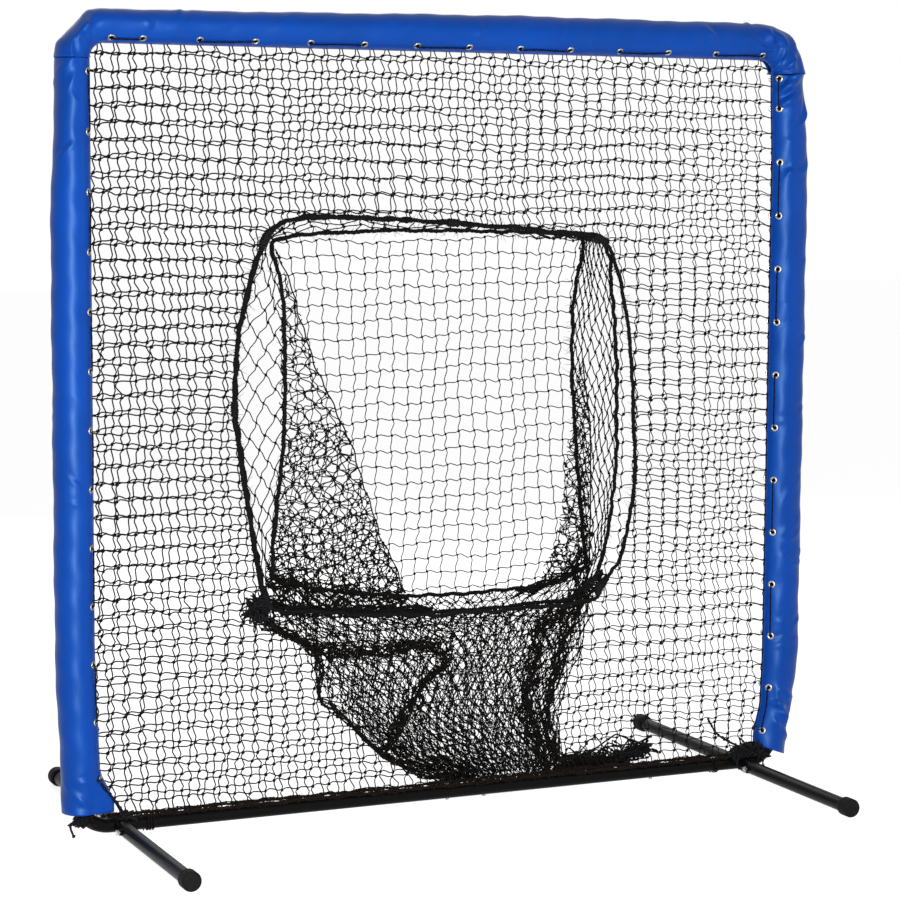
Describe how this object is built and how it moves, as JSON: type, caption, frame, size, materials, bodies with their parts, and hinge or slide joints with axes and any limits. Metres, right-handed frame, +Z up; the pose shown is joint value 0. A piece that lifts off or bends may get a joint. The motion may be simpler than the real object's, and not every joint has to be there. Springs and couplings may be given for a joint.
{
  "type": "pitching target net",
  "caption": "Padded tube frame on four legs, filled with double netting, with a roped mouth that opens into a net sock behind.",
  "frame": {"origin": "on the floor, below the middle of the frame", "axes": "+X along the frame to the right as the thrower sees it, +Y away from the thrower, +Z up"},
  "size_m": [2.21, 1.2192, 2.16],
  "materials": {
    "frame_black": "satin black powder coat",
    "bolt_steel": "zinc plated",
    "foam": "closed-cell foam",
    "blue_vinyl": "semi-gloss coated vinyl",
    "nickel": "nickel plated",
    "lacing_cord": "braided cord",
    "netting": "knotted twine",
    "rope": "twisted rope with stray fibres",
    "tape": "wrapped tape",
    "border_cord": "frayed cord",
    "cap_rubber": "matte rubber",
    "lock_steel": "bright zinc plated"
  },
  "bodies": {
    "frame": {"upright_left": "frame_black", "upright_right": "frame_black", "top_rail_left": "frame_black", "top_rail_right": "frame_black", "bottom_rail_left": "frame_black", "bottom_rail_right": "frame_black", "corner_top_left": "frame_black", "corner_top_right": "frame_black", "corner_bottom_left": "frame_black", "corner_bottom_right": "frame_black", "top_rail_sleeve": "frame_black", "bottom_rail_sleeve": "frame_black", "frame_bolts": "bolt_steel", "frame_nuts": "bolt_steel", "foam_left": "foam", "foam_top": "foam", "foam_right": "foam", "cover_left": "blue_vinyl", "cover_top": "blue_vinyl", "cover_right": "blue_vinyl", "grommets_left": "nickel", "grommets_top": "nickel", "grommets_right": "nickel", "lacing_left": "lacing_cord", "lacing_top": "lacing_cord", "lacing_right": "lacing_cord", "front_net_top": "netting", "front_net_bottom": "netting", "front_net_left": "netting", "front_net_right": "netting", "back_net_top": "netting", "back_net_bottom": "netting", "back_net_left": "netting", "back_net_right": "netting", "mouth_rope_front": "rope", "mouth_rope_back": "rope", "sock_rope": "rope", "rope_ties": "tape", "sock_back_panel": "netting", "sock_left_wall": "netting", "sock_right_wall": "netting", "sock_roof": "netting", "sock_pocket": "netting", "sock_tail": "netting", "net_border_cord": "border_cord", "rail_lashing": "border_cord"},
    "front_left_leg": {"leg_front_left": "frame_black", "leg_cap_front_left": "cap_rubber"},
    "front_left_lock": {"leg_lock_bolt_front_left": "lock_steel"},
    "front_right_leg": {"leg_front_right": "frame_black", "leg_cap_front_right": "cap_rubber"},
    "front_right_lock": {"leg_lock_bolt_front_right": "lock_steel"},
    "back_left_leg": {"leg_back_left": "frame_black", "leg_cap_back_left": "cap_rubber"},
    "back_left_lock": {"leg_lock_bolt_back_left": "lock_steel"},
    "back_right_leg": {"leg_back_right": "frame_black", "leg_cap_back_right": "cap_rubber"},
    "back_right_lock": {"leg_lock_bolt_back_right": "lock_steel"}
  },
  "joints": [
    {"name": "front_left_leg_slide", "type": "slide", "parent": "frame", "child": "front_left_leg", "axis": [0, -1, 0], "range_m": [0, 0.11]},
    {"name": "front_left_lock_back_out", "type": "slide", "parent": "front_left_leg", "child": "front_left_lock", "axis": [-1, 0, 0], "range_m": [0, 0.006]},
    {"name": "front_right_leg_slide", "type": "slide", "parent": "frame", "child": "front_right_leg", "axis": [0, -1, 0], "range_m": [0, 0.11]},
    {"name": "front_right_lock_back_out", "type": "slide", "parent": "front_right_leg", "child": "front_right_lock", "axis": [-1, 0, 0], "range_m": [0, 0.006]},
    {"name": "back_left_leg_slide", "type": "slide", "parent": "frame", "child": "back_left_leg", "axis": [0, 1, 0], "range_m": [0, 0.11]},
    {"name": "back_left_lock_back_out", "type": "slide", "parent": "back_left_leg", "child": "back_left_lock", "axis": [-1, 0, 0], "range_m": [0, 0.006]},
    {"name": "back_right_leg_slide", "type": "slide", "parent": "frame", "child": "back_right_leg", "axis": [0, 1, 0], "range_m": [0, 0.11]},
    {"name": "back_right_lock_back_out", "type": "slide", "parent": "back_right_leg", "child": "back_right_lock", "axis": [-1, 0, 0], "range_m": [0, 0.006]}
  ]
}
